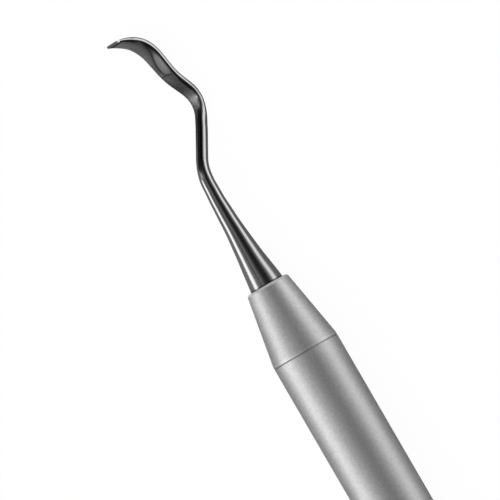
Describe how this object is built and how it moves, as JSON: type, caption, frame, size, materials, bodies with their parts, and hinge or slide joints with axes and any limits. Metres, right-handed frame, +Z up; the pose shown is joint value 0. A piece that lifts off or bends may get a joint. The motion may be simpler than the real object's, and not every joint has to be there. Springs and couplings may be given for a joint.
{
  "type": "surgical chisel",
  "caption": "Hand-held surgical chisel: round hollow handle, tapered nose cone, round shank with two bends, and a flat strap blade that hooks over to a straight bevelled edge.",
  "frame": {"origin": "on the bench under the middle of the whole length, on the handle's centre line seen from above", "axes": "+X along the handle from its tail to the cutting edge, +Y square to it on the bench on the side the cutting edge hooks to, +Z up; the tool lies as it comes to rest, on the side of its handle and on the low bend of its blade"},
  "size_m": [0.1655, 0.0098, 0.0095],
  "materials": {
    "satin_steel": "satin, fine bead blasted grain",
    "polished_steel": "polished, satin on the blade's inner face"
  },
  "bodies": {
    "root": {"handle_tube": "satin_steel", "nose_cone": "satin_steel", "tail_cap": "satin_steel", "working_end": "polished_steel"}
  },
  "joints": []
}
